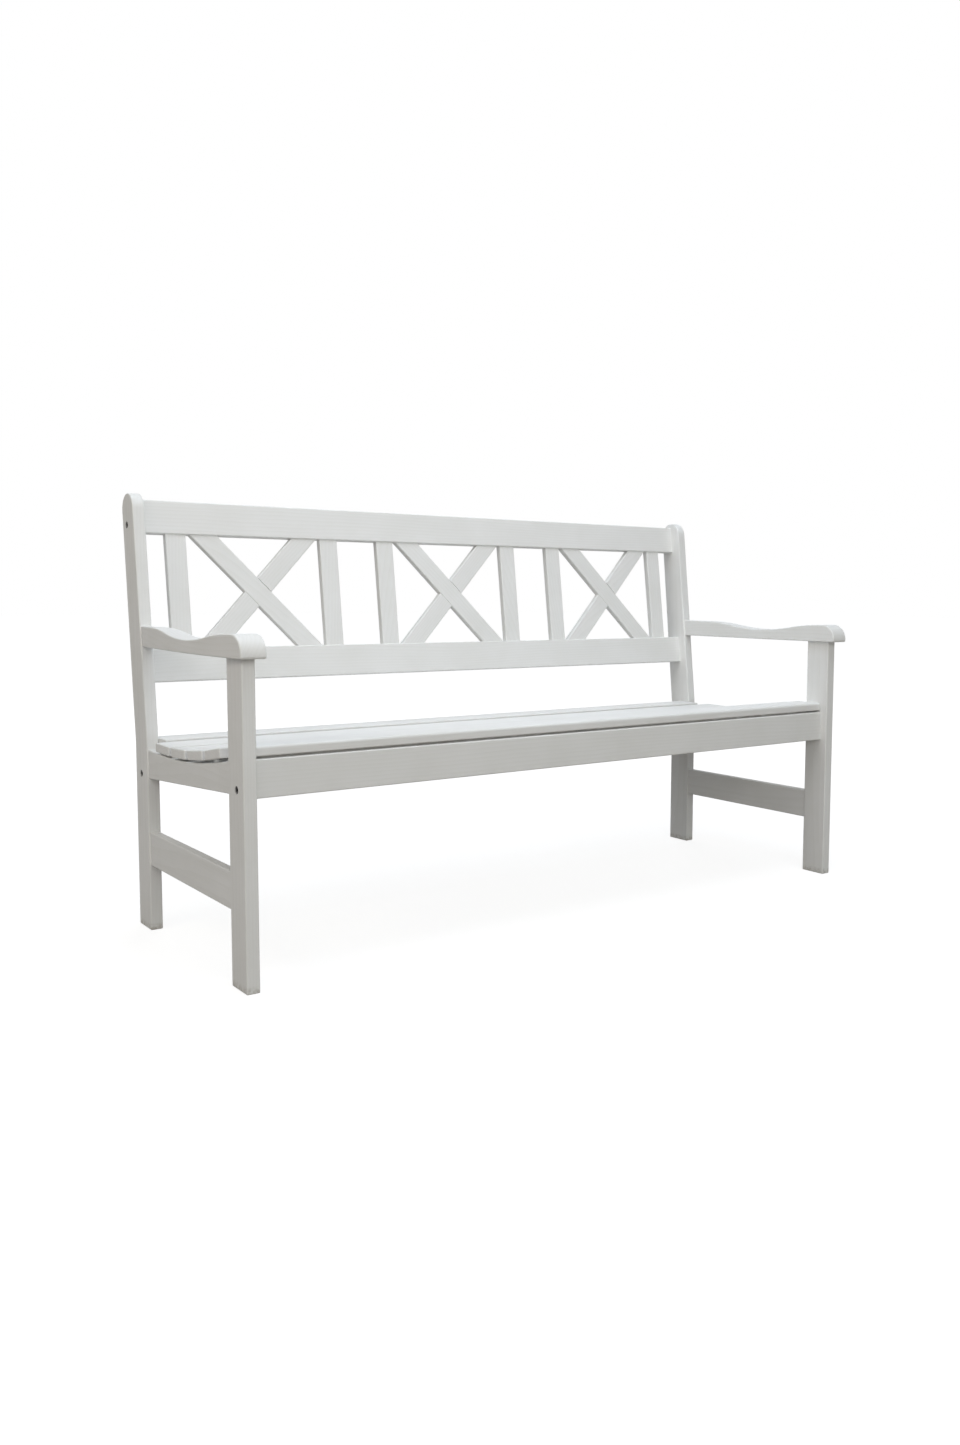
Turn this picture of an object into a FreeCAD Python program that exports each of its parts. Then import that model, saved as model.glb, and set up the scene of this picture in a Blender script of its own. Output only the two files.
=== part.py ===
import FreeCAD
import Part
import Sketcher
import math
import os
import re

# A white-painted wooden garden bench: two side frames with shaped arms, a scooped seat of six slats,
# and a leaning back of two rails with three half-lapped crosses between pairs of uprights.
# Millimetres. +X runs along the bench, +Y from the front to the back, +Z up from the ground, and the
# origin is on the ground in the middle. Left and right are those of someone who faces the bench.

SIZES = {
    # whole bench
    "bench_width": 1484,          # over the legs
    "ease_radius": 2.5,           # rounding along the edges of every visible board
    # front legs
    "leg_thick": 24,              # legs and posts, across the bench
    "leg_depth": 65,
    "side_run": 418,              # clear length from front leg to rear post
    # rear posts
    "post_depth": 67.5,           # below the bend
    "post_height": 869,
    "post_front_bend": 388,       # height where the front edge would bend, were the bend sharp
    "post_back_bend": 373,        # the same for the back edge
    "post_bend_radius": 260,
    "post_top_radius": 32.3,
    "post_top_setback": 83.5,     # from the post's front edge to the middle of its round top
    # arms
    "arm_width": 45,              # at the nose
    "arm_neck": 18,               # width at the post
    "arm_outer_bow": 12,          # how far each side swells between neck and nose
    "arm_inner_bow": 3.5,
    "arm_base": 566,              # height of the underside
    "arm_thick": 40.5,            # at the crests
    "arm_nose_reach": 24.2,       # in front of the leg
    "arm_nose_radius": 36,        # from the top down to the tip of the nose
    "arm_front_flat": 15,         # from the leg's front to where the wave starts
    "arm_rear_flat": 80,          # from the end of the wave to the post
    "arm_wave_depth": 16.2,
    # side rails
    "side_rail_thick": 18,
    "side_rail_height": 58,       # at both ends
    "side_rail_base": 332.6,      # underside at the front leg
    "side_rail_fall": 27,         # how much lower it meets the rear post
    "side_rail_hollow": 13.7,     # depth of the hollow in the top edge
    # the seat's curve, under the slats, from the front legs to the rear posts
    "seat_edge": 397.7,           # height of its front end
    "seat_fall": 29.5,            # how much lower its back end is
    "scoop_depth": 15.5,
    # stretchers
    "stretcher_thick": 18,
    "stretcher_height": 67,
    "stretcher_base": 131.5,
    # front and rear seat rails
    "rail_thick": 24,
    "rail_height": 67,
    "front_rail_base": 328.5,
    "front_rail_setback": 17.5,   # behind the front of the legs
    "rear_rail_base": 296,
    "rear_rail_setback": 23,      # behind the front of the posts
    # seat slats and the battens under them
    "slat_thick": 18,
    "slat_gap": 15,
    "front_slat_gap": 10,         # behind the front slat
    "front_slat_setback": 2.5,    # behind the face of the front rail
    "front_slat_radius": 6,       # the front slat's upper front edge
    "slat_lift": 4.5,             # shadow gap between a seat rail and the slat above it
    "rear_slat_overlap": 11,      # how far the rear slat reaches over the rear rail
    "batten_thick": 24,
    # back panel, measured up its own slope
    "back_base": 492.5,           # height of the middle of the lower rail's underside
    "back_inset": 35.2,           # from the post's front edge, at that height, to the middle of the panel
    "back_top_offset": 8.7,       # middle of the panel behind the middle of the post's round top
    "back_top_margin": 12.6,      # top of the panel below the top of the post
    "back_rail_thick": 24,
    "back_rail_height": 67,
    "upright_width": 42,
    "upright_thick": 16,
    "pair_gap": 98,               # between two neighbouring uprights of different bays
    "end_gap": 48.5,              # between an outer upright and its post
    "brace_width": 42,
    "brace_thick": 16,
    "cross_corner_gap": 8,        # between a cross and an upright, along the rail
    # glued joints
    "tenon_thick": 8,
    "tenon_length": 20,
    "tenon_shoulder": 12,
    "arm_tenon_height": 20,
    "stub_tenon_length": 12,
    "stub_tenon_width": 30,
    "joint_clearance": 0.2,       # round a tenon, a dowel or a nut
    "slat_clearance": 0.3,        # at the ends of slats that fit between legs
    "seat_clearance": 0.1,        # under a slat
    "dowel_radius": 4,
    "dowel_length": 30,
    "dowel_leg_depth": 12,        # part of a rail's dowel that sits in the leg
    "batten_dowel_depth": 7,      # part of a batten's dowel that sits in the seat rail
    "fixing_offset": 17,          # bolt below, and dowel above, the middle of a rail
    # bolts with cross nuts
    "bolt_radius": 3,
    "bolt_head_radius": 6.3,
    "bolt_head_height": 5,
    "bolt_socket_radius": 3,
    "bolt_socket_depth": 3,
    "bolt_tail": 8,               # length past the middle of the nut
    "recess_clearance": 0.7,      # round a bolt's head
    "recess_depth": 6.5,
    "nut_radius": 5,
    "nut_length": 16,
    "nut_setback": 45,            # from the end of the rail
    # screws from below, through the battens into the slats
    "screw_radius": 2,
    "screw_head_radius": 4,
    "screw_head_height": 2.5,
    "screw_grip": 15,             # batten left between a screw's head and the slat
    "screw_bite": 12,             # length in the slat
    "pocket_clearance": 1,        # round a screw's head
}

# Every other size and place is worked out from the sizes above.
FORMULAS = {
    "leg_outer": "bench_width / 2",
    "leg_inner": "leg_outer - leg_thick",
    "leg_middle": "leg_outer - leg_thick / 2",
    "bench_depth": "arm_nose_reach + leg_depth + side_run + post_top_setback + post_top_radius",
    "leg_front": "arm_nose_reach - bench_depth / 2",
    "leg_back": "leg_front + leg_depth",
    "post_front": "leg_back + side_run",
    "post_back": "post_front + post_depth",
    # the round top of a post, and the lean of the edges that run into it
    "post_top_y": "post_front + post_top_setback",
    "post_top_z": "post_height - post_top_radius",
    "front_rise": "post_top_z - post_front_bend",
    "back_rise": "post_top_z - post_back_bend",
    "back_reach": "post_top_setback - post_depth",
    "front_aim": "asin(post_top_radius / hypot(post_top_setback; front_rise))",
    "back_aim": "asin(post_top_radius / hypot(back_reach; back_rise))",
    "front_lean": "atan2(post_top_setback; front_rise) - front_aim",
    "back_lean": "atan2(back_reach; back_rise) + back_aim",
    "front_bend_run": "post_bend_radius * tan(front_lean / 2)",
    "back_bend_run": "post_bend_radius * tan(back_lean / 2)",
    # arms
    "arm_top": "arm_base + arm_thick",
    "arm_nose": "leg_front - arm_nose_reach",
    "arm_chin_radius": "arm_thick - arm_nose_radius",
    "arm_front_crest": "leg_front + arm_front_flat",
    "arm_back_low": "post_front + (arm_base - post_front_bend) * tan(front_lean)",
    "arm_back_high": "post_front + (arm_top - post_front_bend) * tan(front_lean)",
    "arm_rear_crest": "arm_back_high - arm_rear_flat",
    "arm_wave_run": "arm_rear_crest - arm_front_crest",
    "arm_wave_radius": "(arm_wave_run^2 / 4 + arm_wave_depth^2) / (4 * arm_wave_depth)",
    "arm_dowel_y": "(arm_back_low + arm_back_high) / 2",
    "arm_dowel_z": "arm_base + arm_thick / 2",
    # an arm's plan: each side is one arc from neck to nose, sawn from a wider blank
    "arm_blank": "arm_width + 2 * arm_outer_bow",
    "arm_chord": "hypot(arm_back_high - arm_nose; (arm_width - arm_neck) / 2)",
    "arm_outer_radius": "arm_chord^2 / (8 * arm_outer_bow) + arm_outer_bow / 2",
    "arm_inner_radius": "arm_chord^2 / (8 * arm_inner_bow) + arm_inner_bow / 2",
    # seat rails
    "front_rail_y": "leg_front + front_rail_setback + rail_thick / 2",
    "front_rail_z": "front_rail_base + rail_height / 2",
    "rear_rail_y": "post_front + rear_rail_setback + rail_thick / 2",
    "rear_rail_z": "rear_rail_base + rail_height / 2",
    # side rails: the top edge is one hollow arc, and the underside falls to the back
    "fall_slope": "side_rail_fall / side_run",
    "hollow_chord": "hypot(side_run; side_rail_fall)",
    "hollow_radius": "hollow_chord^2 / (8 * side_rail_hollow) + side_rail_hollow / 2",
    # the seat's curve is one arc as well, just clear of the side rails
    "seat_angle": "atan2(seat_fall; side_run)",
    "seat_chord": "hypot(side_run; seat_fall)",
    "scoop_radius": "seat_chord^2 / (8 * scoop_depth) + scoop_depth / 2",
    "scoop_y": "leg_back + side_run / 2 + (scoop_radius - scoop_depth) * sin(seat_angle)",
    "scoop_z": "seat_edge - seat_fall / 2 + (scoop_radius - scoop_depth) * cos(seat_angle)",
    # slats
    "front_slat_front": "leg_front + front_rail_setback + front_slat_setback",
    "rear_slat_back": "rear_rail_y - rail_thick / 2 + rear_slat_overlap",
    "slat_width": "(rear_slat_back - front_slat_front - front_slat_gap - 4 * slat_gap) / 6",
    "slat_pitch": "slat_width + slat_gap",
    "front_slat_base": "front_rail_base + rail_height + slat_lift",
    "rear_slat_base": "rear_rail_base + rail_height + slat_lift",
    "first_scoop_slat": "front_slat_front + 1.5 * slat_width + front_slat_gap",
    "slat_hang": "sqrt(scoop_radius^2 - (slat_width / 2 - ease_radius)^2) - seat_clearance",
    # battens
    "batten_front": "front_rail_y + rail_thick / 2",
    "batten_back": "rear_rail_y - rail_thick / 2",
    "batten_front_step": "front_slat_front + slat_width + front_slat_gap / 2",
    "batten_back_step": "rear_slat_back - slat_width - slat_gap / 2",
    "outer_batten": "leg_inner - batten_thick / 2",
    # back panel: it leans with the posts
    "panel_y": "post_front + (back_base - post_front_bend) * tan(front_lean) + back_inset",
    "back_tilt": "atan2(post_top_y + back_top_offset - panel_y; post_top_z - back_base)",
    "back_slope": "(post_height - back_top_margin - back_base) / cos(back_tilt)",
    "back_opening": "back_slope - 2 * back_rail_height",
    "top_rail_foot": "back_rail_height + back_opening",
    "low_rail_middle": "back_rail_height / 2",
    "top_rail_middle": "top_rail_foot + back_rail_height / 2",
    "panel_middle": "back_rail_height + back_opening / 2",
    "bay_width": "(2 * leg_inner - 2 * end_gap - 6 * upright_width - 2 * pair_gap) / 3",
    "bay_pitch": "bay_width + 2 * upright_width + pair_gap",
    "upright_reach": "(bay_width + upright_width) / 2",
    # a cross: its braces run from corner to corner of a bay, less the corner gaps
    "cross_span": "bay_width - 2 * cross_corner_gap",
    "cross_angle": "acos(brace_width / hypot(cross_span; back_opening)) - atan2(back_opening; cross_span)",
    "brace_foot": "brace_width / cos(cross_angle)",
    "brace_shift": "(cross_span - brace_foot) / 2",
    "lap_foot": "(brace_width + 2 * joint_clearance) / cos(cross_angle)",
    # fixings
    "dowel_hole_radius": "dowel_radius + joint_clearance / 2",
    "dowel_rail_depth": "dowel_length - dowel_leg_depth",
    "dowel_batten_depth": "dowel_length - batten_dowel_depth",
    "recess_radius": "bolt_head_radius + recess_clearance",
    "bolt_hole_radius": "bolt_radius + joint_clearance",
    "bolt_length": "leg_thick - recess_depth + nut_setback + bolt_tail",
    "bolt_hole_depth": "nut_setback + bolt_tail + joint_clearance",
    "nut_hole_radius": "nut_radius + joint_clearance",
    "screw_hole_radius": "screw_radius + joint_clearance",
    "screw_pocket_radius": "screw_head_radius + pocket_clearance",
    "screw_pilot_radius": "screw_radius + joint_clearance / 2",
}

SIDES = {"left": -1, "right": 1}
BAYS = {"left": -1, "centre": 0, "right": 1}

doc = FreeCAD.newDocument("garden_bench")
sheet = doc.addObject("Spreadsheet::Sheet", "Sizes")
for row, (name, size) in enumerate(SIZES.items(), start=1):
    sheet.set("A%d" % row, name)
    sheet.set("B%d" % row, str(size))
    sheet.setAlias("B%d" % row, name)
doc.recompute()

nodes = []


def full(text):
    """Spell a formula out, down to cells of the sheet."""
    def spell(found):
        word = found.group()
        if word in SIZES:
            return "Sizes." + word
        if word in FORMULAS:
            return "(" + full(FORMULAS[word]) + ")"
        return word
    return re.sub("[a-z_]+", spell, text)


def value(text):
    result = sheet.evalExpression(full(text))
    return float(getattr(result, "Value", result))


def bind(thing, path, text):
    thing.setExpression(path, full(text))


def about_x(angle):
    return "rotation(vector(1; 0; 0); %s)" % angle


# Turns that point a hole or a fastener, drawn along +Z, the way it runs.
ALONG_X = {1: "rotation(vector(0; 1; 0); 90)", -1: "rotation(vector(0; 1; 0); -90)"}
ALONG_Y = {1: about_x("-90"), -1: about_x("90")}
ALONG_Z = about_x("0")
PANEL_TURN = about_x("-back_tilt")


def place(thing, x, y, z, turn=ALONG_Z):
    bind(thing, "Placement", "placement(vector(%s; %s; %s); %s)" % (x, y, z, turn))


def piece(label, x="0", y="0", z="0", turn=ALONG_Z):
    body = doc.addObject("PartDesign::Body", label)
    body.Label = label
    place(body, x, y, z, turn)
    nodes.append(body)
    return body


def panel_piece(label):
    """A piece of the back: it leans, and is drawn up the slope from the lower rail's underside."""
    return piece(label, "0", "panel_y", "back_base", PANEL_TURN)


def arc(start, end, radius, hollow):
    """The arc from start to end that bulges out of an outline, or into it if it is hollow."""
    chord = end - start
    left = FreeCAD.Vector(-chord.y, chord.x, 0).normalize()
    reach = math.sqrt(radius ** 2 - chord.Length ** 2 / 4)
    middle = (start + end) * 0.5 + left * (-reach if hollow else reach)
    first, last = (end, start) if hollow else (start, end)
    angles = [math.atan2(point.y - middle.y, point.x - middle.x) for point in (first, last)]
    return Part.ArcOfCircle(Part.Circle(middle, FreeCAD.Vector(0, 0, 1), radius), *angles)


def outline(body, plane, corners, bows=None):
    """Draw a closed outline, anticlockwise. A bow gives the radius of the side after that corner."""
    bows = bows or {}
    sketch = body.newObject("Sketcher::SketchObject", "outline")
    support = next(feature for feature in body.Origin.OriginFeatures if feature.Role == plane)
    sketch.AttachmentSupport = [(support, "")]
    sketch.MapMode = "FlatFace"
    points = [FreeCAD.Vector(value(across), value(up), 0) for across, up in corners]
    heads = []
    for index, start in enumerate(points):
        end = points[(index + 1) % len(points)]
        radius, hollow = bows.get(index, (None, False))
        side = arc(start, end, value(radius), hollow) if radius else Part.LineSegment(start, end)
        sketch.addGeometry(side)
        heads.append(2 if hollow else 1)
    for index, (across, up) in enumerate(corners):
        before = index - 1 if index else len(corners) - 1
        sketch.addConstraint(Sketcher.Constraint("Coincident", before, 3 - heads[before], index, heads[index]))
        for kind, text in (("DistanceX", across), ("DistanceY", up)):
            rule = Sketcher.Constraint(kind, -1, 1, index, heads[index], value(text))
            bind(sketch, "Constraints[%d]" % sketch.addConstraint(rule), text)
    for index, (radius, hollow) in bows.items():
        rule = Sketcher.Constraint("Radius", index, value(radius))
        bind(sketch, "Constraints[%d]" % sketch.addConstraint(rule), radius)
    return sketch


def rectangle(low_across, low_up, high_across, high_up):
    return [(low_across, low_up), (high_across, low_up), (high_across, high_up), (low_across, high_up)]


def board(body, plane, thick, corners, bows=None):
    """Pad an outline to both sides of its plane."""
    pad = body.newObject("PartDesign::Pad", "board")
    pad.Profile = outline(body, plane, corners, bows)
    pad.SideType = "Symmetric"
    bind(pad, "Length", thick)


def ease(body, chosen, radius="ease_radius"):
    """Round the chosen edges of what the body is so far."""
    doc.recompute()
    base = body.Tip
    edges = ["Edge%d" % number for number, edge in enumerate(base.Shape.Edges, start=1) if chosen(edge)]
    fillet = body.newObject("PartDesign::Fillet", "eased")
    fillet.Base = (base, edges)
    bind(fillet, "Radius", radius)


def runs_along(axis):
    def chosen(edge):
        box = edge.BoundBox
        spans = {"x": box.XLength, "y": box.YLength, "z": box.ZLength}
        return spans[axis] > edge.Length * 0.99
    return chosen


def lies_flat(edge):
    """Edges of the two side faces of a side frame's board."""
    return edge.BoundBox.XLength < edge.Length * 0.01


def block(body, kind, centre, spans, extra="0"):
    feature = body.newObject("PartDesign::%sBox" % kind, "block")
    for side, span in zip(("Length", "Width", "Height"), spans):
        bind(feature, side, "%s + 2 * %s" % (span, extra))
    low = ["%s - (%s) / 2 - %s" % (middle, span, extra) for middle, span in zip(centre, spans)]
    place(feature, *low)


def tenon(body, spot):
    block(body, "Additive", *spot)


def mortise(body, spot):
    block(body, "Subtractive", *spot, extra="joint_clearance")


def bore(body, mouth, turn, radius, depth):
    hole = body.newObject("PartDesign::SubtractiveCylinder", "bore")
    bind(hole, "Radius", radius)
    bind(hole, "Height", depth)
    place(hole, *mouth, turn)


def up_panel(up):
    """Depth and height on the bench of a point in the middle of the leaning back."""
    return "panel_y + (%s) * sin(back_tilt)" % up, "back_base + (%s) * cos(back_tilt)" % up


# Where the bolts and the dowels of the four long rails pass into the side frames.
FRONT_BOLTS = [("front_rail_y", "front_rail_z - fixing_offset")]
FRONT_DOWELS = [("front_rail_y", "front_rail_z + fixing_offset")]
REAR_BOLTS = [
    ("rear_rail_y", "rear_rail_z - fixing_offset"),
    up_panel("top_rail_middle - fixing_offset"),
]
REAR_DOWELS = [
    ("rear_rail_y", "rear_rail_z + fixing_offset"),
    up_panel("top_rail_middle + fixing_offset"),
    up_panel("low_rail_middle + fixing_offset"),
    up_panel("low_rail_middle - fixing_offset"),
]

# Tenons of the side frames, each centred on its shoulder: half in its own board, half in the leg.
SIDE_TENON = ("tenon_thick", "2 * tenon_length", "side_rail_height - 2 * tenon_shoulder")
LOW_TENON = ("tenon_thick", "2 * tenon_length", "stretcher_height - 2 * tenon_shoulder")
FRONT_TENONS = [
    (("0", "leg_back", "side_rail_base + side_rail_height / 2"), SIDE_TENON),
    (("0", "leg_back", "stretcher_base + stretcher_height / 2"), LOW_TENON),
]
REAR_TENONS = [
    (("0", "post_front", "side_rail_base - side_rail_fall + side_rail_height / 2"), SIDE_TENON),
    (("0", "post_front", "stretcher_base + stretcher_height / 2"), LOW_TENON),
]
ARM_TENON = (
    ("0", "leg_front + leg_depth / 2", "arm_base"),
    ("tenon_thick", "leg_depth - 2 * tenon_shoulder", "2 * arm_tenon_height"),
)


def bore_leg(body, side, bolts, dowels):
    """Recesses and bolt holes from the outer face, dowel holes from the inner face."""
    outer = "%d * leg_thick / 2" % side
    inner = "%d * leg_thick / 2" % -side
    for depth, height in bolts:
        bore(body, (outer, depth, height), ALONG_X[-side], "recess_radius", "recess_depth")
        bore(body, (outer, depth, height), ALONG_X[-side], "bolt_hole_radius", "leg_thick")
    for depth, height in dowels:
        bore(body, (inner, depth, height), ALONG_X[side], "dowel_hole_radius",
             "dowel_leg_depth + joint_clearance")


def rear_post(name, side):
    """Bent rear leg: straight to the seat, then leaning back to a half-round top."""
    body = piece("rear_post_" + name, "%d * leg_middle" % side)
    corners = [
        ("post_front", "0"),
        ("post_back", "0"),
        ("post_back", "post_back_bend - back_bend_run"),
        ("post_back + back_bend_run * sin(back_lean)", "post_back_bend + back_bend_run * cos(back_lean)"),
        ("post_top_y + post_top_radius * cos(back_lean)", "post_top_z - post_top_radius * sin(back_lean)"),
        ("post_top_y", "post_height"),
        ("post_top_y - post_top_radius * cos(front_lean)", "post_top_z + post_top_radius * sin(front_lean)"),
        ("post_front + front_bend_run * sin(front_lean)", "post_front_bend + front_bend_run * cos(front_lean)"),
        ("post_front", "post_front_bend - front_bend_run"),
    ]
    round_top = ("post_top_radius", False)
    hollow_bend = ("post_bend_radius", True)
    full_bend = ("post_bend_radius", False)
    board(body, "YZ_Plane", "leg_thick", corners, {2: hollow_bend, 4: round_top, 5: round_top, 7: full_bend})
    across = runs_along("x")
    ease(body, lambda edge: lies_flat(edge) or across(edge) and edge.BoundBox.ZMax < 1)
    for spot in REAR_TENONS:
        mortise(body, spot)
    bore_leg(body, side, REAR_BOLTS, REAR_DOWELS)
    bore(body, ("0", "arm_dowel_y - dowel_length / 2", "arm_dowel_z"), ALONG_Y[1],
         "dowel_hole_radius", "dowel_length + joint_clearance")


def front_leg(name, side):
    """Straight front leg with a tenon up into the arm."""
    body = piece("front_leg_" + name, "%d * leg_middle" % side)
    board(body, "YZ_Plane", "leg_thick", rectangle("leg_front", "0", "leg_back", "arm_base"))
    top = value("arm_base")
    ease(body, lambda edge: edge.BoundBox.ZMin < top - 1)
    tenon(body, ARM_TENON)
    for spot in FRONT_TENONS:
        mortise(body, spot)
    bore_leg(body, side, FRONT_BOLTS, FRONT_DOWELS)


def arm_waste(hand):
    """Plan of what is sawn off one side of an arm's blank, past both ends. Hand 1 is towards +X."""
    corners = [
        ("arm_blank / 2", "arm_back_high + arm_thick"),
        ("arm_neck / 2", "arm_back_high + arm_thick"),
        ("arm_neck / 2", "arm_back_high"),
        ("arm_width / 2", "arm_nose"),
        ("arm_width / 2", "arm_nose - arm_thick"),
        ("arm_blank / 2", "arm_nose - arm_thick"),
    ]
    if hand > 0:
        return corners
    return [("-" + across, along) for across, along in reversed(corners)]


def armrest(name, side):
    """Arm with a round nose, a wave along its top, swelling sides and an end cut to the post's lean."""
    body = piece("armrest_" + name, "%d * leg_middle" % side)
    half_way = "arm_top - arm_wave_depth / 2"
    corners = [
        ("arm_nose + arm_chin_radius", "arm_base"),
        ("arm_back_low", "arm_base"),
        ("arm_back_high", "arm_top"),
        ("arm_rear_crest", "arm_top"),
        ("arm_rear_crest - arm_wave_run / 4", half_way),
        ("arm_front_crest + arm_wave_run / 4", half_way),
        ("arm_front_crest", "arm_top"),
        ("arm_nose + arm_nose_radius", "arm_top"),
        ("arm_nose", "arm_base + arm_chin_radius"),
    ]
    crest = ("arm_wave_radius", False)
    dip = ("arm_wave_radius", True)
    nose = ("arm_nose_radius", False)
    chin = ("arm_chin_radius", False)
    board(body, "YZ_Plane", "arm_blank", corners, {3: crest, 4: dip, 5: crest, 7: nose, 8: chin})
    for hand, radius in ((side, "arm_outer_radius"), (-side, "arm_inner_radius")):
        saw_cut = body.newObject("PartDesign::Pocket", "saw_cut")
        saw_cut.Profile = outline(body, "XY_Plane", arm_waste(hand), {2: (radius, True)})
        saw_cut.Reversed = True
        bind(saw_cut, "Length", "arm_top + arm_thick")
    butt = value("arm_back_low")
    across = runs_along("x")
    ease(body, lambda edge: not across(edge) and edge.BoundBox.YMin < butt - 1)
    mortise(body, ARM_TENON)
    bore(body, ("0", "arm_dowel_y + dowel_length / 2", "arm_dowel_z"), ALONG_Y[-1],
         "dowel_hole_radius", "dowel_length + joint_clearance")


def side_rail(name, side):
    """Seat side rail: falls to the back, with its top edge hollowed to follow the seat."""
    body = piece("side_rail_" + name, "%d * leg_middle" % side)
    back = "side_rail_base - side_rail_fall"
    corners = [
        ("leg_back", "side_rail_base"),
        ("post_front", back),
        ("post_front", back + " + side_rail_height"),
        ("leg_back", "side_rail_base + side_rail_height"),
    ]
    board(body, "YZ_Plane", "side_rail_thick", corners, {2: ("hollow_radius", True)})
    ease(body, lambda edge: lies_flat(edge) and edge.BoundBox.YLength > edge.BoundBox.ZLength)
    tenon(body, FRONT_TENONS[0])
    tenon(body, REAR_TENONS[0])


def stretcher(name, side):
    """Low rail between front leg and rear post."""
    body = piece("stretcher_" + name, "%d * leg_middle" % side)
    top = "stretcher_base + stretcher_height"
    board(body, "YZ_Plane", "stretcher_thick", rectangle("leg_back", "stretcher_base", "post_front", top))
    ease(body, runs_along("y"))
    tenon(body, FRONT_TENONS[1])
    tenon(body, REAR_TENONS[1])


BATTENS = {name: "%d * outer_batten" % place_across for name, place_across in BAYS.items()}


def bore_rail_ends(body, middle, dowels, bolted, thick, inside):
    """Dowel holes in both ends of a long rail and, if it is bolted, its bolt and nut holes."""
    for side in SIDES.values():
        end = "%d * leg_inner" % side
        for height in dowels:
            bore(body, (end, "0", height), ALONG_X[-side], "dowel_hole_radius",
                 "dowel_rail_depth + joint_clearance")
        if bolted:
            low = middle + " - fixing_offset"
            nut = "%d * (leg_inner - nut_setback)" % side
            bore(body, (end, "0", low), ALONG_X[-side], "bolt_hole_radius", "bolt_hole_depth")
            bore(body, (nut, "%d * %s / 2" % (inside, thick), low), ALONG_Y[-inside], "nut_hole_radius",
                 "(%s + nut_length) / 2 + joint_clearance" % thick)


def seat_rail(label, depth, height, inside, batten_height):
    """Seat rail between two legs. Its hidden face takes the nuts and the dowels of the battens."""
    body = piece(label, "0", depth, height)
    corners = rectangle("-rail_thick / 2", "-rail_height / 2", "rail_thick / 2", "rail_height / 2")
    board(body, "YZ_Plane", "2 * leg_inner", corners)
    ease(body, runs_along("x"))
    bore_rail_ends(body, "0", ["fixing_offset"], True, "rail_thick", inside)
    for across in BATTENS.values():
        mouth = (across, "%d * rail_thick / 2" % inside, "%s - %s" % (batten_height, height))
        bore(body, mouth, ALONG_Y[-inside], "dowel_hole_radius", "batten_dowel_depth + joint_clearance")


def scoop_height(depth):
    return "scoop_z - sqrt(scoop_radius^2 - (%s - scoop_y)^2)" % depth


def fall_height(depth):
    return "side_rail_base - (%s - leg_back) * fall_slope" % depth


# Height of the dowels in a batten's ends: half way up each end.
FRONT_BATTEN_DOWEL = "(%s + front_slat_base) / 2" % fall_height("batten_front")
REAR_BATTEN_DOWEL = "(%s + rear_slat_base) / 2" % fall_height("batten_back")


def slat_spots():
    """Middle of each slat's underside: depth, height and tilt."""
    flat_front = ("front_slat_front + slat_width / 2", "front_slat_base", "0 deg")
    flat_back = ("rear_slat_back - slat_width / 2", "rear_slat_base", "0 deg")
    scooped = []
    for number in range(4):
        tilt = "asin((first_scoop_slat + %d * slat_pitch - scoop_y) / slat_hang)" % number
        depth = "scoop_y + slat_hang * sin(%s)" % tilt
        height = "scoop_z - slat_hang * cos(%s)" % tilt
        scooped.append((depth, height, tilt))
    return [flat_front] + scooped + [flat_back]


def seat_slat(number, spot, half_length, front_radius):
    """Slat with a rounded upper front edge, its other edges eased, and pilot holes underneath."""
    depth, height, tilt = spot
    body = piece("seat_slat_%d" % number, "0", depth, height, about_x(tilt))
    corners = [
        ("-slat_width / 2", "0"),
        ("slat_width / 2", "0"),
        ("slat_width / 2", "slat_thick"),
        ("%s - slat_width / 2" % front_radius, "slat_thick"),
        ("-slat_width / 2", "slat_thick - %s" % front_radius),
    ]
    board(body, "YZ_Plane", "2 * (%s)" % half_length, corners, {3: (front_radius, False)})
    along = runs_along("x")
    back = value("slat_width / 2") - 1
    ease(body, lambda edge: not along(edge) or edge.BoundBox.YMin > back or edge.BoundBox.ZMax < 1)
    for across in BATTENS.values():
        bore(body, (across, "0", "0"), ALONG_Z, "screw_pilot_radius", "screw_bite + joint_clearance")


def seat_batten(name, across):
    """Batten under the slats: level under the first and the last, scooped under the others."""
    body = piece("seat_batten_" + name, across)
    corners = [
        ("batten_front", fall_height("batten_front")),
        ("batten_back", fall_height("batten_back")),
        ("batten_back", "rear_slat_base"),
        ("batten_back_step", "rear_slat_base"),
        ("batten_back_step", scoop_height("batten_back_step")),
        ("batten_front_step", scoop_height("batten_front_step")),
        ("batten_front_step", "front_slat_base"),
        ("batten_front", "front_slat_base"),
    ]
    board(body, "YZ_Plane", "batten_thick", corners, {4: ("scoop_radius", True)})
    bore(body, ("0", "batten_front", FRONT_BATTEN_DOWEL), ALONG_Y[1], "dowel_hole_radius",
         "dowel_batten_depth + joint_clearance")
    bore(body, ("0", "batten_back", REAR_BATTEN_DOWEL), ALONG_Y[-1], "dowel_hole_radius",
         "dowel_batten_depth + joint_clearance")
    for depth, height, tilt in slat_spots():
        down = about_x("180 deg + " + tilt)
        seat = ("0", "%s + screw_grip * sin(%s)" % (depth, tilt), "%s - screw_grip * cos(%s)" % (height, tilt))
        bore(body, ("0", depth, height), down, "screw_hole_radius", "screw_grip")
        bore(body, seat, down, "screw_pocket_radius", "side_rail_height")


# The back: stub tenons are centred on the edges of the two rails.
RAIL_EDGES = {-1: "back_rail_height", 1: "top_rail_foot"}


def stub(across, edge):
    return (across, "0", RAIL_EDGES[edge]), ("stub_tenon_width", "tenon_thick", "2 * stub_tenon_length")


UPRIGHTS = ["%d * bay_pitch + %d * upright_reach" % (bay, hand) for bay in BAYS.values() for hand in (-1, 1)]


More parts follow.
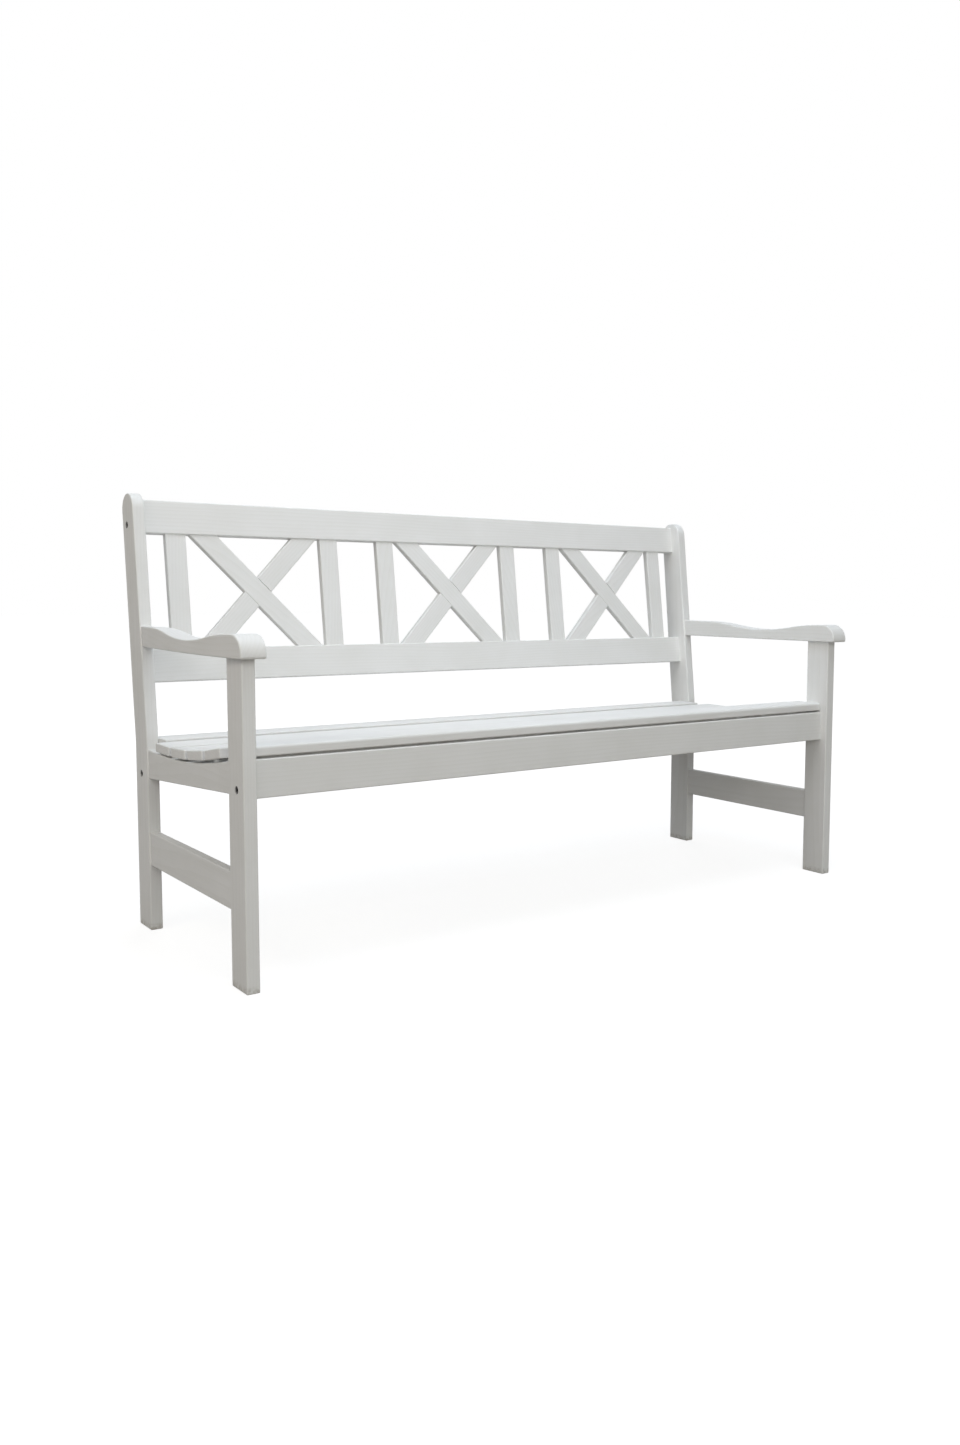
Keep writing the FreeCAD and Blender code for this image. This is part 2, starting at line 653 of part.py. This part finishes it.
def back_rail(label, foot, middle, edge, dowels, bolted):
    """Long rail of the back, with mortises along the edge that faces the opening."""
    body = panel_piece(label)
    corners = rectangle("-leg_inner", foot, "leg_inner", foot + " + back_rail_height")
    board(body, "XZ_Plane", "back_rail_thick", corners)
    ease(body, runs_along("x"))
    braces = ["%d * bay_pitch + %d * brace_shift" % (bay, hand) for bay in BAYS.values() for hand in (-1, 1)]
    for across in UPRIGHTS + braces:
        mortise(body, stub(across, edge))
    bore_rail_ends(body, middle, dowels, bolted, "back_rail_thick", 1)


def back_upright(number, across):
    body = panel_piece("back_upright_%d" % number)
    corners = rectangle("%s - upright_width / 2" % across, "back_rail_height",
                        "%s + upright_width / 2" % across, "top_rail_foot")
    board(body, "XZ_Plane", "upright_thick", corners)
    ease(body, runs_along("z"))
    for edge in RAIL_EDGES:
        tenon(body, stub(across, edge))


def brace_outline(bay, hand, foot):
    """A brace's slanted outline. Hand 1 rises to the right and hand -1 to the left."""
    middle = "%d * bay_pitch" % bay
    low = "%s - %d * brace_shift" % (middle, hand)
    high = "%s + %d * brace_shift" % (middle, hand)
    return [
        ("%s - %s / 2" % (low, foot), "back_rail_height"),
        ("%s + %s / 2" % (low, foot), "back_rail_height"),
        ("%s + %s / 2" % (high, foot), "top_rail_foot"),
        ("%s - %s / 2" % (high, foot), "top_rail_foot"),
    ]


def cross_brace(name, bay, letter, hand):
    """One brace of a cross, halved where it meets the other. Brace a shows whole from the front."""
    body = panel_piece("cross_brace_%s_%s" % (name, letter))
    board(body, "XZ_Plane", "brace_thick", brace_outline(bay, hand, "brace_foot"))
    opening = value("back_opening")
    ease(body, lambda edge: edge.Length > opening)
    for edge in RAIL_EDGES:
        tenon(body, stub("%d * bay_pitch + %d * brace_shift" % (bay, edge * hand), edge))
    lap = body.newObject("PartDesign::Pocket", "lap")
    lap.Profile = outline(body, "XZ_Plane", brace_outline(bay, -hand, "lap_foot"))
    lap.Reversed = letter == "b"
    bind(lap, "Length", "brace_thick")


def copies(label, model, spots):
    """Identical fasteners: separate solids in one group."""
    placed = []
    for x, y, z, turn in spots:
        copy = doc.addObject("Part::Compound", label + "_copy")
        copy.Links = [model]
        place(copy, x, y, z, turn)
        placed.append(copy)
    group = doc.addObject("Part::Compound", label)
    group.Label = label
    group.Links = placed
    nodes.append(group)


def cylinder(radius, height, z="0", turn=ALONG_Z, x="0"):
    shape = doc.addObject("Part::Cylinder", "round")
    bind(shape, "Radius", radius)
    bind(shape, "Height", height)
    place(shape, x, "0", z, turn)
    return shape


def joined(kind, base, tool):
    result = doc.addObject("Part::" + kind, "fastener")
    result.Base = base
    result.Tool = tool
    return result


def frame_bolts():
    """Bolts with a round head and a hexagon socket, drawn with the head's seat at zero."""
    head = cylinder("bolt_head_radius", "bolt_head_height", "-bolt_head_height")
    socket = doc.addObject("Part::Prism", "socket")
    socket.Polygon = 6
    bind(socket, "Circumradius", "bolt_socket_radius")
    bind(socket, "Height", "bolt_socket_depth")
    place(socket, "0", "0", "-bolt_head_height")
    bolt = joined("Cut", joined("Fuse", head, cylinder("bolt_radius", "bolt_length")), socket)
    spots = []
    for side in SIDES.values():
        for depth, height in FRONT_BOLTS + REAR_BOLTS:
            spots.append(("%d * (leg_outer - recess_depth)" % side, depth, height, ALONG_X[-side]))
    copies("frame_bolts", bolt, spots)


def barrel_nuts():
    """Round cross nuts, centred on their bolts, with the bolt's hole across them."""
    blank = cylinder("nut_radius", "nut_length", "-nut_length / 2")
    hole = cylinder("bolt_radius + joint_clearance / 2", "2 * nut_radius", "0", ALONG_X[1], "-nut_radius")
    nut = joined("Cut", blank, hole)
    turns = [ALONG_Y[1], ALONG_Y[1], about_x("-90 deg - back_tilt")]
    spots = []
    for side in SIDES.values():
        for (depth, height), turn in zip(FRONT_BOLTS + REAR_BOLTS, turns):
            spots.append(("%d * (leg_inner - nut_setback)" % side, depth, height, turn))
    copies("barrel_nuts", nut, spots)


def dowels():
    """Beech dowels in the rail ends, at the arms' back ends and at the battens' ends."""
    dowel = cylinder("dowel_radius", "dowel_length")
    rail_spots = []
    arm_spots = []
    for side in SIDES.values():
        for depth, height in FRONT_DOWELS + REAR_DOWELS:
            rail_spots.append(("%d * (leg_inner + dowel_leg_depth)" % side, depth, height, ALONG_X[-side]))
        arm_spots.append(("%d * leg_middle" % side, "arm_dowel_y - dowel_length / 2", "arm_dowel_z", ALONG_Y[1]))
    batten_spots = []
    for across in BATTENS.values():
        batten_spots.append((across, "batten_front - batten_dowel_depth", FRONT_BATTEN_DOWEL, ALONG_Y[1]))
        batten_spots.append((across, "batten_back + batten_dowel_depth", REAR_BATTEN_DOWEL, ALONG_Y[-1]))
    copies("rail_dowels", dowel, rail_spots)
    copies("arm_dowels", dowel, arm_spots)
    copies("batten_dowels", dowel, batten_spots)


def slat_screws():
    """Screws driven up through the battens, drawn with the head's seat at zero."""
    head = cylinder("screw_head_radius", "screw_head_height", "-screw_head_height")
    screw = joined("Fuse", head, cylinder("screw_radius", "screw_grip + screw_bite"))
    spots = []
    for across in BATTENS.values():
        for depth, height, tilt in slat_spots():
            seat_y = "%s + screw_grip * sin(%s)" % (depth, tilt)
            seat_z = "%s - screw_grip * cos(%s)" % (height, tilt)
            spots.append((across, seat_y, seat_z, about_x(tilt)))
    copies("slat_screws", screw, spots)


def check(thing):
    """Stop if a feature failed, or if a cut took nothing away."""
    if {"Invalid", "Error"} & set(thing.State):
        raise RuntimeError("%s of %s failed" % (thing.Name, thing.Label))
    if "Subtractive" in thing.TypeId or thing.TypeId == "PartDesign::Pocket":
        if thing.Shape.Volume > thing.BaseFeature.Shape.Volume - 1:
            raise RuntimeError("%s cuts nothing" % thing.Name)


for name, side in SIDES.items():
    rear_post(name, side)
    front_leg(name, side)
    armrest(name, side)
    side_rail(name, side)
    stretcher(name, side)
seat_rail("front_rail", "front_rail_y", "front_rail_z", 1, FRONT_BATTEN_DOWEL)
seat_rail("rear_rail", "rear_rail_y", "rear_rail_z", -1, REAR_BATTEN_DOWEL)
for name, across in BATTENS.items():
    seat_batten(name, across)
front_spot, *scooped_spots, back_spot = slat_spots()
seat_slat(1, front_spot, "leg_inner - slat_clearance", "front_slat_radius")
for number, spot in enumerate(scooped_spots, start=2):
    seat_slat(number, spot, "leg_outer", "ease_radius")
seat_slat(6, back_spot, "leg_inner - slat_clearance", "ease_radius")
back_rail("lower_back_rail", "0", "low_rail_middle", -1,
          ["low_rail_middle - fixing_offset", "low_rail_middle + fixing_offset"], False)
back_rail("top_back_rail", "top_rail_foot", "top_rail_middle", 1,
          ["top_rail_middle + fixing_offset"], True)
for number, across in enumerate(UPRIGHTS, start=1):
    back_upright(number, across)
for name, bay in BAYS.items():
    cross_brace(name, bay, "a", -1)
    cross_brace(name, bay, "b", 1)
frame_bolts()
barrel_nuts()
dowels()
slat_screws()

doc.recompute()
for thing in doc.Objects:
    check(thing)
for node in nodes:
    if node.Shape.isNull() or not node.Shape.isValid():
        raise RuntimeError("%s has no valid shape" % node.Label)
os.makedirs("parts", exist_ok=True)
for node in nodes:
    node.Shape.exportStep("parts/%s.step" % node.Label)
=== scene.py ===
import bpy
import math
from mathutils import Matrix, Vector

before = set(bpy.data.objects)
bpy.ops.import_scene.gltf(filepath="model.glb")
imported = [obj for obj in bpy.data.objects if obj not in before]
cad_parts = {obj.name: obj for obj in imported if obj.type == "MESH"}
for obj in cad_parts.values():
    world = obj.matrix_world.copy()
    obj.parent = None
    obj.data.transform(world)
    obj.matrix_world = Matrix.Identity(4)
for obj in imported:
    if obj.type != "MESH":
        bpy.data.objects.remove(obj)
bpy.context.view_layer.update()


# The side frames: bent rear posts, straight front legs, wavy arms, scooped side rails and low stretchers.
# Planed pine boards with eased edges, joined by glued tenons and dowels, then painted satin white by brush,
# so that the grain shows as faint raised lines.

MM = 0.001


def linear(hex_colour):
    """An sRGB hex colour as linear red, green, blue and alpha."""
    channels = [int(hex_colour[start:start + 2], 16) / 255 for start in (1, 3, 5)]
    return [c / 12.92 if c <= 0.04045 else ((c + 0.055) / 1.055) ** 2.4 for c in channels] + [1.0]


def node(tree, kind, settings, links=None):
    """Add a shader node: settings go to its inputs or its own options, links come from other sockets."""
    added = tree.nodes.new("ShaderNode" + kind)
    for name, setting in settings.items():
        if isinstance(name, int) or name in added.inputs:
            added.inputs[name].default_value = setting
        else:
            setattr(added, name, setting)
    for name, source in (links or {}).items():
        tree.links.new(source, added.inputs[name])
    return added


def fresh_material(name):
    """An empty material with a Principled shader on its output."""
    material = bpy.data.materials.new(name)
    material.use_nodes = True
    tree = material.node_tree
    tree.nodes.clear()
    shader = node(tree, "BsdfPrincipled", {})
    node(tree, "OutputMaterial", {}, {"Surface": shader.outputs["BSDF"]})
    return material, tree, shader


def painted_pine(name, turn):
    """Satin white paint on planed pine: a near-neutral white with a soft, slightly streaked gloss.

    The turn lays the board's length along the pattern's X.
    """
    ring_spacing = 6.5 * MM
    ring_drift = 35 * MM
    drift_rate = (1.6, 9.0, 9.0)                            # waves to a metre, along and across the board
    fibre_width, fibre_length = 2.8 * MM, 300 * MM          # finer in life, drawn wide enough to show
    brush_width, brush_length = 6 * MM, 450 * MM            # bristle marks, drawn coarser for the same reason
    mottle_size = 110 * MM
    scuff_height, scuff_size = 15 * MM, 7 * MM
    recess_reach = 20 * MM
    relief_height = 0.3 * MM
    fibre_relief, ring_relief = 0.6, 0.7                    # beside the brush marks' 1
    material, tree, shader = fresh_material(name)
    place = node(tree, "TexCoord", {})
    along = node(tree, "Mapping", {"Rotation": turn}, {"Vector": place.outputs["Object"]})

    # growth rings of the log, which wander a little along the board
    drift_map = node(tree, "Mapping", {"Scale": drift_rate}, {"Vector": along.outputs[0]})
    wander = node(tree, "TexNoise", {"Scale": 1.0, "Detail": 1.0}, {"Vector": drift_map.outputs[0]})
    drift = node(tree, "VectorMath", {"operation": "SCALE", "Scale": ring_drift},
                 {0: wander.outputs["Color"]})
    bent = node(tree, "VectorMath", {"operation": "ADD"}, {0: along.outputs[0], 1: drift.outputs[0]})
    rings = node(tree, "TexWave", {"wave_type": "RINGS", "rings_direction": "X", "wave_profile": "SAW",
                                   "Scale": 2 * math.pi / (20 * ring_spacing), "Distortion": 1.2,
                                   "Detail": 2.0, "Detail Scale": 0.6}, {"Vector": bent.outputs[0]})

    # fibres, the marks of the brush, and slow changes in the coat
    fibre_map = node(tree, "Mapping", {"Scale": (1 / fibre_length, 1 / fibre_width, 1 / fibre_width)},
                     {"Vector": bent.outputs[0]})
    fibres = node(tree, "TexNoise", {"Scale": 1.0, "Detail": 3.0, "Roughness": 0.6},
                  {"Vector": fibre_map.outputs[0]})
    brush_map = node(tree, "Mapping", {"Scale": (1 / brush_length, 1 / brush_width, 1 / brush_width)},
                     {"Vector": along.outputs[0]})
    brush = node(tree, "TexNoise", {"Scale": 1.0, "Detail": 2.0}, {"Vector": brush_map.outputs[0]})
    mottle = node(tree, "TexNoise", {"Scale": 1 / mottle_size, "Detail": 3.0},
                  {"Vector": place.outputs["Object"]})

    # colour: even white, a little greyer in the grain and where the coat is thinner
    grain = node(tree, "Math", {"operation": "MULTIPLY"}, {0: rings.outputs["Fac"], 1: fibres.outputs["Fac"]})
    grain_share = node(tree, "MapRange", {"From Min": 0.15, "From Max": 0.65, "To Min": 0.0, "To Max": 0.28},
                       {"Value": grain.outputs[0]})
    coat = node(tree, "ValToRGB", {}, {"Fac": mottle.outputs["Fac"]})
    coat.color_ramp.elements[0].position = 0.3
    coat.color_ramp.elements[0].color = linear("#E6E6E4")
    coat.color_ramp.elements[1].position = 0.7
    coat.color_ramp.elements[1].color = linear("#EBEBEA")
    paint = node(tree, "Mix", {"data_type": "RGBA", "B": linear("#D9D9D4")},
                 {"Factor": grain_share.outputs[0], "A": coat.outputs["Color"]})

    # feet scuffed by the ground, in patches up to a finger's width high
    lift = node(tree, "SeparateXYZ", {}, {0: place.outputs["Object"]})
    low = node(tree, "MapRange", {"From Min": 0.0, "From Max": scuff_height, "To Min": 1.0, "To Max": 0.0},
               {"Value": lift.outputs["Z"]})
    patches = node(tree, "TexNoise", {"Scale": 1 / scuff_size, "Detail": 3.0},
                   {"Vector": place.outputs["Object"]})
    rubbed = node(tree, "MapRange", {"From Min": 0.38, "From Max": 0.62, "To Min": 0.1, "To Max": 0.8},
                  {"Value": patches.outputs["Fac"]})
    worn = node(tree, "Math", {"operation": "MULTIPLY"}, {0: low.outputs[0], 1: rubbed.outputs[0]})
    scuffed = node(tree, "Mix", {"data_type": "RGBA", "B": linear("#9C9588")},
                   {"Factor": worn.outputs[0], "A": paint.outputs["Result"]})

    # painted shade: the walls of bored recesses, such as the bolts', darkened where occlusion finds them
    # closed in
    recess = node(tree, "AmbientOcclusion", {"samples": 6, "only_local": True, "Distance": recess_reach})
    painted_shade = node(tree, "MapRange", {"From Min": 0.3, "From Max": 0.55, "To Min": 0.9, "To Max": 0.0},
                  {"Value": recess.outputs["AO"]})
    finished = node(tree, "Mix", {"data_type": "RGBA", "B": linear("#4B463E")},
                    {"Factor": painted_shade.outputs[0], "A": scuffed.outputs["Result"]})
    tree.links.new(finished.outputs["Result"], shader.inputs["Base Color"])

    # satin gloss, a little uneven with the brush
    gloss = node(tree, "MapRange", {"From Min": 0.3, "From Max": 0.7, "To Min": 0.46, "To Max": 0.60},
                 {"Value": brush.outputs["Fac"]})
    tree.links.new(gloss.outputs[0], shader.inputs["Roughness"])
    shader.inputs["IOR"].default_value = 1.42

    # raised late wood, fibres and brush marks, as a relief of a few hundredths of a millimetre
    relief = node(tree, "Math", {"operation": "MULTIPLY_ADD", 1: fibre_relief},
                  {0: fibres.outputs["Fac"], 2: brush.outputs["Fac"]})
    height = node(tree, "Math", {"operation": "MULTIPLY_ADD", 1: ring_relief},
                  {0: rings.outputs["Fac"], 2: relief.outputs[0]})
    bump = node(tree, "Bump", {"Strength": 0.2, "Distance": relief_height}, {"Height": height.outputs[0]})
    tree.links.new(bump.outputs[0], shader.inputs["Normal"])
    return material


# turns that lay a board's length, along X, Y or Z, on the pattern's X
RUNS = {
    "x": (0.0, 0.0, 0.0),
    "y": (0.0, 0.0, -math.pi / 2),
    "z": (0.0, math.pi / 2, 0.0),
}
pine = {run: painted_pine("painted_pine_along_" + run, turn) for run, turn in RUNS.items()}


def dress(node_name, material):
    """Give a CAD node its finish."""
    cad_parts[node_name].material_slots[0].material = material


for side in ("left", "right"):
    dress("rear_post_" + side, pine["z"])
    dress("front_leg_" + side, pine["z"])
    dress("armrest_" + side, pine["y"])
    dress("side_rail_" + side, pine["y"])
    dress("stretcher_" + side, pine["y"])


# The seat: two long rails bolted between the side frames, three scooped battens dowelled between the rails,
# and six slats screwed on from below, through the battens.
# The same painted pine, with the grain along each board.

for name in ("front_rail", "rear_rail"):
    dress(name, pine["x"])
for name in ("left", "centre", "right"):
    dress("seat_batten_" + name, pine["y"])
for number in range(1, 7):
    dress("seat_slat_%d" % number, pine["x"])


# The back: two rails with six uprights and three half-lapped crosses mortised between them, glued up as one
# leaning panel. The top rail is bolted to the posts and the lower one dowelled.
# The same painted pine, and the braces' grain follows their slant.

for name in ("lower_back_rail", "top_back_rail"):
    dress(name, pine["x"])
for number in range(1, 7):
    dress("back_upright_%d" % number, pine["z"])
BRACE_SLANT = math.radians(42)      # from upright, near enough for the run of the grain
for letter, lean in (("a", 1), ("b", -1)):
    slanted = painted_pine("painted_pine_brace_" + letter, (0.0, math.pi / 2 + lean * BRACE_SLANT, 0.0))
    for name in ("left", "centre", "right"):
        dress("cross_brace_%s_%s" % (name, letter), slanted)


# Fasteners: bolts and cross nuts of dark zinc-plated steel, screws under the seat, and beech dowels that
# stay hidden in their holes.

def plated_steel(name):
    """Dark passivated zinc on steel: a dull, nearly black metal with a cloudy gloss."""
    cloud_size = 2 * MM
    material, tree, shader = fresh_material(name)
    place = node(tree, "TexCoord", {})
    cloud = node(tree, "TexNoise", {"Scale": 1 / cloud_size, "Detail": 3.0},
                 {"Vector": place.outputs["Object"]})
    tone = node(tree, "ValToRGB", {}, {"Fac": cloud.outputs["Fac"]})
    tone.color_ramp.elements[0].color = linear("#1E1E1F")
    tone.color_ramp.elements[1].color = linear("#343436")
    tree.links.new(tone.outputs["Color"], shader.inputs["Base Color"])
    gloss = node(tree, "MapRange", {"To Min": 0.3, "To Max": 0.5}, {"Value": cloud.outputs["Fac"]})
    tree.links.new(gloss.outputs[0], shader.inputs["Roughness"])
    shader.inputs["Metallic"].default_value = 1.0
    return material


def bare_beech(name):
    """Turned beech, bare: a matt pale brown with small dark flecks."""
    fleck_size = 1.2 * MM
    material, tree, shader = fresh_material(name)
    place = node(tree, "TexCoord", {})
    fleck = node(tree, "TexNoise", {"Scale": 1 / fleck_size, "Detail": 2.0},
                 {"Vector": place.outputs["Object"]})
    tone = node(tree, "ValToRGB", {}, {"Fac": fleck.outputs["Fac"]})
    tone.color_ramp.elements[0].color = linear("#B08A5E")
    tone.color_ramp.elements[1].color = linear("#D2AE82")
    tree.links.new(tone.outputs["Color"], shader.inputs["Base Color"])
    shader.inputs["Roughness"].default_value = 0.7
    return material


steel = plated_steel("dark_zinc_on_steel")
beech = bare_beech("bare_beech")
for name in ("frame_bolts", "barrel_nuts", "slat_screws"):
    dress(name, steel)
for name in ("rail_dowels", "arm_dowels", "batten_dowels"):
    dress(name, beech)


# The floor: a plain pale sheet that shows white and keeps the bench's soft shadow. For the light that it
# throws back on the bench it counts as a warm grey. Far from the lamps it glows a little more, so that it
# meets the backdrop without an edge.

def seen_directly(tree):
    """A node that gives 1 to the camera, reflections and glass, and 0 to light that goes on to the bench."""
    path = node(tree, "LightPath", {})
    mirrored = node(tree, "Math", {"operation": "MAXIMUM"},
                    {0: path.outputs["Is Camera Ray"], 1: path.outputs["Is Glossy Ray"]})
    return node(tree, "Math", {"operation": "MAXIMUM"},
                {0: mirrored.outputs[0], 1: path.outputs["Is Transmission Ray"]})


FLOOR_SIZE = 60.0
GLOW_NEAR, GLOW_FAR = 0.81, 0.92
FADE_START, FADE_END = 0.9, 2.8     # metres from the middle of the bench
bpy.ops.object.select_all(action="DESELECT")
bpy.ops.mesh.primitive_plane_add(size=FLOOR_SIZE, location=(0, 0, 0))
floor = bpy.context.object
floor.name = "floor"
pale = bpy.data.materials.new("pale_floor")
pale.use_nodes = True
tree = pale.node_tree
tree.nodes.clear()
grey = node(tree, "BsdfDiffuse", {"Color": linear("#9A948C")})
shade = node(tree, "BsdfDiffuse", {"Color": linear("#A0A0A0")})
place = node(tree, "TexCoord", {})
reach = node(tree, "VectorMath", {"operation": "LENGTH"}, {0: place.outputs["Object"]})
fade = node(tree, "MapRange", {"interpolation_type": "SMOOTHSTEP",
                               "From Min": FADE_START, "From Max": FADE_END,
                               "To Min": GLOW_NEAR, "To Max": GLOW_FAR}, {"Value": reach.outputs["Value"]})
glow = node(tree, "Emission", {"Color": linear("#FFFFFF")}, {"Strength": fade.outputs[0]})
white = node(tree, "AddShader", {}, {0: shade.outputs[0], 1: glow.outputs[0]})
surface = node(tree, "MixShader", {},
               {0: seen_directly(tree).outputs[0], 1: grey.outputs[0], 2: white.outputs[0]})
node(tree, "OutputMaterial", {}, {"Surface": surface.outputs[0]})
floor.data.materials.append(pale)


# The light: an even, faintly blue dome that shows as a white backdrop, two softboxes overhead, a large one in
# front, a warmer one on the left, one off the left front corner, and one behind for the bench's back.

DOME_STRENGTH = 0.29
world = bpy.data.worlds.new("studio_dome")
bpy.context.scene.world = world
world.use_nodes = True
tree = world.node_tree
tree.nodes.clear()
dome = node(tree, "Background", {"Color": linear("#F7FBFF"), "Strength": DOME_STRENGTH})
backdrop = node(tree, "Background", {"Color": linear("#FFFFFF"), "Strength": 1.0})
sky = node(tree, "MixShader", {},
           {0: seen_directly(tree).outputs[0], 1: dome.outputs[0], 2: backdrop.outputs[0]})
node(tree, "OutputWorld", {}, {"Surface": sky.outputs[0]})


def softbox(name, place, aim, size, power, tint, mirrored=True):
    """A rectangular lamp, its power in watts, turned from its place to an aim. Gloss shows it if mirrored."""
    lamp = bpy.data.lights.new(name, "AREA")
    lamp.shape = "RECTANGLE"
    lamp.size, lamp.size_y = size
    lamp.energy = power
    lamp.color = linear(tint)[:3]
    holder = bpy.data.objects.new(name, lamp)
    bpy.context.scene.collection.objects.link(holder)
    holder.visible_glossy = mirrored
    holder.location = place
    holder.rotation_euler = (Vector(aim) - Vector(place)).to_track_quat("-Z", "Y").to_euler()


softbox("overhead_softbox", place=(0.0, -0.2, 2.6), aim=(0.0, -0.1, 0.4), size=(1.2, 2.2),
        power=16, tint="#D0E8FF")
softbox("seat_softbox", place=(0.0, -0.5, 2.1), aim=(0.0, 0.0, 0.4), size=(1.8, 1.0),
        power=9, tint="#FFF9F6")
softbox("front_softbox", place=(-1.2, -4.0, 2.0), aim=(-0.2, 0.0, 0.5), size=(2.6, 2.0),
        power=44, tint="#FDFEF4")
softbox("left_softbox", place=(-3.2, -0.4, 2.6), aim=(0.0, 0.0, 0.5), size=(2.2, 1.6),
        power=19, tint="#FFF4DE")
softbox("corner_softbox", place=(-2.8, -3.2, 1.8), aim=(-0.2, 0.0, 0.5), size=(2.0, 1.8),
        power=16, tint="#FDF7FF")
softbox("rear_softbox", place=(1.8, 3.8, 2.0), aim=(0.0, 0.0, 0.5), size=(3.0, 2.0),
        power=40, tint="#FFFFFF", mirrored=False)


# The camera stands off the left front corner of the bench, a little higher than its arms, and looks slightly
# down. Its focal length and the shift of the picture's centre are in pixels of the 960 by 1445 frame.

CAMERA_PLACE = (-1.4988, -2.1519, 0.6765)
YAW, PITCH, ROLL = math.radians(38.228), math.radians(5.033), math.radians(0.441)
SENSOR = 36.0                       # millimetres
FRAME_HEIGHT = 1445
FOCAL_LENGTH = 1183.23
CENTRE_SHIFT = (-102.78, -24.5)
camera = bpy.data.cameras.new("photo_camera")
camera.sensor_width = SENSOR
camera.lens = SENSOR * FOCAL_LENGTH / FRAME_HEIGHT
camera.shift_x = CENTRE_SHIFT[0] / FRAME_HEIGHT
camera.shift_y = CENTRE_SHIFT[1] / FRAME_HEIGHT
stand = bpy.data.objects.new("photo_camera", camera)
bpy.context.scene.collection.objects.link(stand)
heading = Matrix.Rotation(-YAW, 4, "Z")
tilt = Matrix.Rotation(math.pi / 2 - PITCH, 4, "X")
cant = Matrix.Rotation(ROLL, 4, "Z")
stand.matrix_world = Matrix.Translation(CAMERA_PLACE) @ heading @ tilt @ cant
bpy.context.scene.camera = stand
bpy.context.scene.view_settings.view_transform = "Standard"
